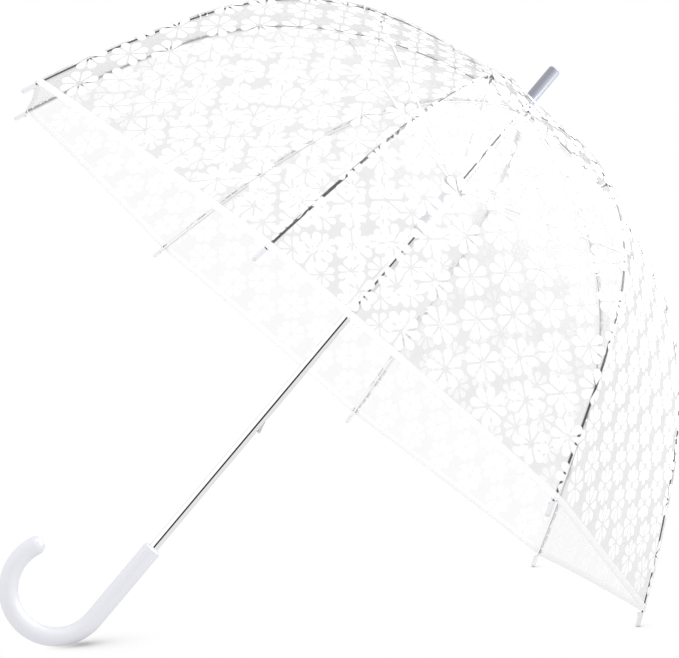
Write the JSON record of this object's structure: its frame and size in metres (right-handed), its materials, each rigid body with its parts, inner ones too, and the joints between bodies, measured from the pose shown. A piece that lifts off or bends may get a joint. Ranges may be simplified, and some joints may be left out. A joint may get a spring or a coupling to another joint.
{
  "type": "clear bubble umbrella",
  "caption": "Deep dome umbrella with clear printed film panels on thin metal ribs, a straight metal shaft with a sliding runner and a white crook handle.",
  "frame": {"origin": "middle of the straight grip, on the shaft axis", "axes": "+Z along the shaft towards the ferrule, +X the way the crook opens"},
  "size_m": [0.8906, 0.8906, 0.8642],
  "materials": {
    "handle_plastic": "satin white",
    "ferrule_plastic": "satin white",
    "clear_plastic": "clear gloss",
    "hub_plastic": "satin white",
    "tip_plastic": "satin",
    "clear_film": "clear film with white printed flowers",
    "chrome": "polished",
    "wire": "bright",
    "rib_steel": "bright plated wire"
  },
  "bodies": {
    "frame": {"handle": "handle_plastic", "shaft": "chrome", "ferrule": "ferrule_plastic", "crown_cap": "clear_plastic", "top_notch": "hub_plastic", "notch_wire": "wire", "stop_pin": "wire", "catch_seats": "wire"},
    "runner": {"runner": "hub_plastic", "runner_wire": "wire"},
    "lower_catch": {"lower_catch": "wire"},
    "upper_catch": {"upper_catch": "wire"},
    "rib_1_upper": {"rib_1_upper": "rib_steel", "canopy_panel_1": "clear_film"},
    "rib_1_middle": {"rib_1_middle": "rib_steel"},
    "rib_1_lower": {"rib_1_lower": "rib_steel", "rib_tip_1": "tip_plastic"},
    "stretcher_1": {"stretcher_1": "rib_steel"},
    "rib_2_upper": {"rib_2_upper": "rib_steel", "canopy_panel_2": "clear_film"},
    "rib_2_middle": {"rib_2_middle": "rib_steel"},
    "rib_2_lower": {"rib_2_lower": "rib_steel", "rib_tip_2": "tip_plastic"},
    "stretcher_2": {"stretcher_2": "rib_steel"},
    "rib_3_upper": {"rib_3_upper": "rib_steel", "canopy_panel_3": "clear_film"},
    "rib_3_middle": {"rib_3_middle": "rib_steel"},
    "rib_3_lower": {"rib_3_lower": "rib_steel", "rib_tip_3": "tip_plastic"},
    "stretcher_3": {"stretcher_3": "rib_steel"},
    "rib_4_upper": {"rib_4_upper": "rib_steel", "canopy_panel_4": "clear_film"},
    "rib_4_middle": {"rib_4_middle": "rib_steel"},
    "rib_4_lower": {"rib_4_lower": "rib_steel", "rib_tip_4": "tip_plastic"},
    "stretcher_4": {"stretcher_4": "rib_steel"},
    "rib_5_upper": {"rib_5_upper": "rib_steel", "canopy_panel_5": "clear_film"},
    "rib_5_middle": {"rib_5_middle": "rib_steel"},
    "rib_5_lower": {"rib_5_lower": "rib_steel", "rib_tip_5": "tip_plastic"},
    "stretcher_5": {"stretcher_5": "rib_steel"},
    "rib_6_upper": {"rib_6_upper": "rib_steel", "canopy_panel_6": "clear_film"},
    "rib_6_middle": {"rib_6_middle": "rib_steel"},
    "rib_6_lower": {"rib_6_lower": "rib_steel", "rib_tip_6": "tip_plastic"},
    "stretcher_6": {"stretcher_6": "rib_steel"},
    "rib_7_upper": {"rib_7_upper": "rib_steel", "canopy_panel_7": "clear_film"},
    "rib_7_middle": {"rib_7_middle": "rib_steel"},
    "rib_7_lower": {"rib_7_lower": "rib_steel", "rib_tip_7": "tip_plastic"},
    "stretcher_7": {"stretcher_7": "rib_steel"},
    "rib_8_upper": {"rib_8_upper": "rib_steel", "canopy_panel_8": "clear_film"},
    "rib_8_middle": {"rib_8_middle": "rib_steel"},
    "rib_8_lower": {"rib_8_lower": "rib_steel", "rib_tip_8": "tip_plastic"},
    "stretcher_8": {"stretcher_8": "rib_steel"}
  },
  "joints": [
    {"name": "runner_slide", "type": "slide", "parent": "frame", "child": "runner", "axis": [0, 0, 1], "range_m": [-0.29113, 0], "deforming": ["canopy_panel_1", "canopy_panel_2", "canopy_panel_3", "canopy_panel_4", "canopy_panel_5", "canopy_panel_6", "canopy_panel_7", "canopy_panel_8"]},
    {"name": "lower_catch_press", "type": "hinge", "parent": "frame", "child": "lower_catch", "pos_m": [0, 0, 0.238], "axis": [0, 1, 0], "range_deg": [-11.5, 0], "stiffness_Nm_per_rad": 0.05, "springref_deg": 6.88},
    {"name": "upper_catch_press", "type": "hinge", "parent": "frame", "child": "upper_catch", "pos_m": [0, 0, 0.525], "axis": [0, 1, 0], "range_deg": [0, 11.5], "stiffness_Nm_per_rad": 0.05, "springref_deg": -6.88},
    {"name": "rib_1_root", "type": "hinge", "parent": "frame", "child": "rib_1_upper", "pos_m": [0.00843, 0.00537, 0.689], "axis": [-0.5373, 0.8434, 0], "range_deg": [0, 71.23]},
    {"name": "rib_1_upper_flex", "type": "hinge", "parent": "rib_1_upper", "child": "rib_1_middle", "pos_m": [0.19276, 0.1228, 0.63248], "axis": [-0.5373, 0.8434, 0], "range_deg": [-26.19, 0]},
    {"name": "rib_1_lower_flex", "type": "hinge", "parent": "rib_1_middle", "child": "rib_1_lower", "pos_m": [0.30662, 0.19534, 0.5021], "axis": [-0.5373, 0.8434, 0], "range_deg": [-18.55, 0]},
    {"name": "stretcher_1_pivot", "type": "hinge", "parent": "rib_1_upper", "child": "stretcher_1", "pos_m": [0.17369, 0.11065, 0.63399], "axis": [-0.5373, 0.8434, 0], "range_deg": [-142.73, 0]},
    {"name": "rib_2_root", "type": "hinge", "parent": "frame", "child": "rib_2_upper", "pos_m": [0.00216, 0.00976, 0.689], "axis": [-0.9763, 0.2164, 0], "range_deg": [0, 71.23]},
    {"name": "rib_2_upper_flex", "type": "hinge", "parent": "rib_2_upper", "child": "rib_2_middle", "pos_m": [0.04947, 0.22313, 0.63248], "axis": [-0.9763, 0.2164, 0], "range_deg": [-26.19, 0]},
    {"name": "rib_2_lower_flex", "type": "hinge", "parent": "rib_2_middle", "child": "rib_2_lower", "pos_m": [0.07869, 0.35494, 0.5021], "axis": [-0.9763, 0.2164, 0], "range_deg": [-18.55, 0]},
    {"name": "stretcher_2_pivot", "type": "hinge", "parent": "rib_2_upper", "child": "stretcher_2", "pos_m": [0.04457, 0.20106, 0.63399], "axis": [-0.9763, 0.2164, 0], "range_deg": [-142.73, 0]},
    {"name": "rib_3_root", "type": "hinge", "parent": "frame", "child": "rib_3_upper", "pos_m": [-0.00537, 0.00843, 0.689], "axis": [-0.8434, -0.5373, 0], "range_deg": [0, 71.23]},
    {"name": "rib_3_upper_flex", "type": "hinge", "parent": "rib_3_upper", "child": "rib_3_middle", "pos_m": [-0.1228, 0.19276, 0.63248], "axis": [-0.8434, -0.5373, 0], "range_deg": [-26.19, 0]},
    {"name": "rib_3_lower_flex", "type": "hinge", "parent": "rib_3_middle", "child": "rib_3_lower", "pos_m": [-0.19534, 0.30662, 0.5021], "axis": [-0.8434, -0.5373, 0], "range_deg": [-18.55, 0]},
    {"name": "stretcher_3_pivot", "type": "hinge", "parent": "rib_3_upper", "child": "stretcher_3", "pos_m": [-0.11065, 0.17369, 0.63399], "axis": [-0.8434, -0.5373, 0], "range_deg": [-142.73, 0]},
    {"name": "rib_4_root", "type": "hinge", "parent": "frame", "child": "rib_4_upper", "pos_m": [-0.00976, 0.00216, 0.689], "axis": [-0.2164, -0.9763, 0], "range_deg": [0, 71.23]},
    {"name": "rib_4_upper_flex", "type": "hinge", "parent": "rib_4_upper", "child": "rib_4_middle", "pos_m": [-0.22313, 0.04947, 0.63248], "axis": [-0.2164, -0.9763, 0], "range_deg": [-26.19, 0]},
    {"name": "rib_4_lower_flex", "type": "hinge", "parent": "rib_4_middle", "child": "rib_4_lower", "pos_m": [-0.35494, 0.07869, 0.5021], "axis": [-0.2164, -0.9763, 0], "range_deg": [-18.55, 0]},
    {"name": "stretcher_4_pivot", "type": "hinge", "parent": "rib_4_upper", "child": "stretcher_4", "pos_m": [-0.20106, 0.04457, 0.63399], "axis": [-0.2164, -0.9763, 0], "range_deg": [-142.73, 0]},
    {"name": "rib_5_root", "type": "hinge", "parent": "frame", "child": "rib_5_upper", "pos_m": [-0.00843, -0.00537, 0.689], "axis": [0.5373, -0.8434, 0], "range_deg": [0, 71.23]},
    {"name": "rib_5_upper_flex", "type": "hinge", "parent": "rib_5_upper", "child": "rib_5_middle", "pos_m": [-0.19276, -0.1228, 0.63248], "axis": [0.5373, -0.8434, 0], "range_deg": [-26.19, 0]},
    {"name": "rib_5_lower_flex", "type": "hinge", "parent": "rib_5_middle", "child": "rib_5_lower", "pos_m": [-0.30662, -0.19534, 0.5021], "axis": [0.5373, -0.8434, 0], "range_deg": [-18.55, 0]},
    {"name": "stretcher_5_pivot", "type": "hinge", "parent": "rib_5_upper", "child": "stretcher_5", "pos_m": [-0.17369, -0.11065, 0.63399], "axis": [0.5373, -0.8434, 0], "range_deg": [-142.73, 0]},
    {"name": "rib_6_root", "type": "hinge", "parent": "frame", "child": "rib_6_upper", "pos_m": [-0.00216, -0.00976, 0.689], "axis": [0.9763, -0.2164, 0], "range_deg": [0, 71.23]},
    {"name": "rib_6_upper_flex", "type": "hinge", "parent": "rib_6_upper", "child": "rib_6_middle", "pos_m": [-0.04947, -0.22313, 0.63248], "axis": [0.9763, -0.2164, 0], "range_deg": [-26.19, 0]},
    {"name": "rib_6_lower_flex", "type": "hinge", "parent": "rib_6_middle", "child": "rib_6_lower", "pos_m": [-0.07869, -0.35494, 0.5021], "axis": [0.9763, -0.2164, 0], "range_deg": [-18.55, 0]},
    {"name": "stretcher_6_pivot", "type": "hinge", "parent": "rib_6_upper", "child": "stretcher_6", "pos_m": [-0.04457, -0.20106, 0.63399], "axis": [0.9763, -0.2164, 0], "range_deg": [-142.73, 0]},
    {"name": "rib_7_root", "type": "hinge", "parent": "frame", "child": "rib_7_upper", "pos_m": [0.00537, -0.00843, 0.689], "axis": [0.8434, 0.5373, 0], "range_deg": [0, 71.23]},
    {"name": "rib_7_upper_flex", "type": "hinge", "parent": "rib_7_upper", "child": "rib_7_middle", "pos_m": [0.1228, -0.19276, 0.63248], "axis": [0.8434, 0.5373, 0], "range_deg": [-26.19, 0]},
    {"name": "rib_7_lower_flex", "type": "hinge", "parent": "rib_7_middle", "child": "rib_7_lower", "pos_m": [0.19534, -0.30662, 0.5021], "axis": [0.8434, 0.5373, 0], "range_deg": [-18.55, 0]},
    {"name": "stretcher_7_pivot", "type": "hinge", "parent": "rib_7_upper", "child": "stretcher_7", "pos_m": [0.11065, -0.17369, 0.63399], "axis": [0.8434, 0.5373, 0], "range_deg": [-142.73, 0]},
    {"name": "rib_8_root", "type": "hinge", "parent": "frame", "child": "rib_8_upper", "pos_m": [0.00976, -0.00216, 0.689], "axis": [0.2164, 0.9763, 0], "range_deg": [0, 71.23]},
    {"name": "rib_8_upper_flex", "type": "hinge", "parent": "rib_8_upper", "child": "rib_8_middle", "pos_m": [0.22313, -0.04947, 0.63248], "axis": [0.2164, 0.9763, 0], "range_deg": [-26.19, 0]},
    {"name": "rib_8_lower_flex", "type": "hinge", "parent": "rib_8_middle", "child": "rib_8_lower", "pos_m": [0.35494, -0.07869, 0.5021], "axis": [0.2164, 0.9763, 0], "range_deg": [-18.55, 0]},
    {"name": "stretcher_8_pivot", "type": "hinge", "parent": "rib_8_upper", "child": "stretcher_8", "pos_m": [0.20106, -0.04457, 0.63399], "axis": [0.2164, 0.9763, 0], "range_deg": [-142.73, 0]}
  ],
  "couplings": [
    {"joint": "rib_1_root", "follows": "runner_slide", "rad_per_m": -4.2696},
    {"joint": "rib_1_upper_flex", "follows": "runner_slide", "rad_per_m": 1.5695},
    {"joint": "rib_1_lower_flex", "follows": "runner_slide", "rad_per_m": 1.1114},
    {"joint": "stretcher_1_pivot", "follows": "runner_slide", "rad_per_m": 8.5559},
    {"joint": "rib_2_root", "follows": "runner_slide", "rad_per_m": -4.2696},
    {"joint": "rib_2_upper_flex", "follows": "runner_slide", "rad_per_m": 1.5695},
    {"joint": "rib_2_lower_flex", "follows": "runner_slide", "rad_per_m": 1.1114},
    {"joint": "stretcher_2_pivot", "follows": "runner_slide", "rad_per_m": 8.5559},
    {"joint": "rib_3_root", "follows": "runner_slide", "rad_per_m": -4.2696},
    {"joint": "rib_3_upper_flex", "follows": "runner_slide", "rad_per_m": 1.5695},
    {"joint": "rib_3_lower_flex", "follows": "runner_slide", "rad_per_m": 1.1114},
    {"joint": "stretcher_3_pivot", "follows": "runner_slide", "rad_per_m": 8.5559},
    {"joint": "rib_4_root", "follows": "runner_slide", "rad_per_m": -4.2696},
    {"joint": "rib_4_upper_flex", "follows": "runner_slide", "rad_per_m": 1.5695},
    {"joint": "rib_4_lower_flex", "follows": "runner_slide", "rad_per_m": 1.1114},
    {"joint": "stretcher_4_pivot", "follows": "runner_slide", "rad_per_m": 8.5559},
    {"joint": "rib_5_root", "follows": "runner_slide", "rad_per_m": -4.2696},
    {"joint": "rib_5_upper_flex", "follows": "runner_slide", "rad_per_m": 1.5695},
    {"joint": "rib_5_lower_flex", "follows": "runner_slide", "rad_per_m": 1.1114},
    {"joint": "stretcher_5_pivot", "follows": "runner_slide", "rad_per_m": 8.5559},
    {"joint": "rib_6_root", "follows": "runner_slide", "rad_per_m": -4.2696},
    {"joint": "rib_6_upper_flex", "follows": "runner_slide", "rad_per_m": 1.5695},
    {"joint": "rib_6_lower_flex", "follows": "runner_slide", "rad_per_m": 1.1114},
    {"joint": "stretcher_6_pivot", "follows": "runner_slide", "rad_per_m": 8.5559},
    {"joint": "rib_7_root", "follows": "runner_slide", "rad_per_m": -4.2696},
    {"joint": "rib_7_upper_flex", "follows": "runner_slide", "rad_per_m": 1.5695},
    {"joint": "rib_7_lower_flex", "follows": "runner_slide", "rad_per_m": 1.1114},
    {"joint": "stretcher_7_pivot", "follows": "runner_slide", "rad_per_m": 8.5559},
    {"joint": "rib_8_root", "follows": "runner_slide", "rad_per_m": -4.2696},
    {"joint": "rib_8_upper_flex", "follows": "runner_slide", "rad_per_m": 1.5695},
    {"joint": "rib_8_lower_flex", "follows": "runner_slide", "rad_per_m": 1.1114},
    {"joint": "stretcher_8_pivot", "follows": "runner_slide", "rad_per_m": 8.5559}
  ]
}
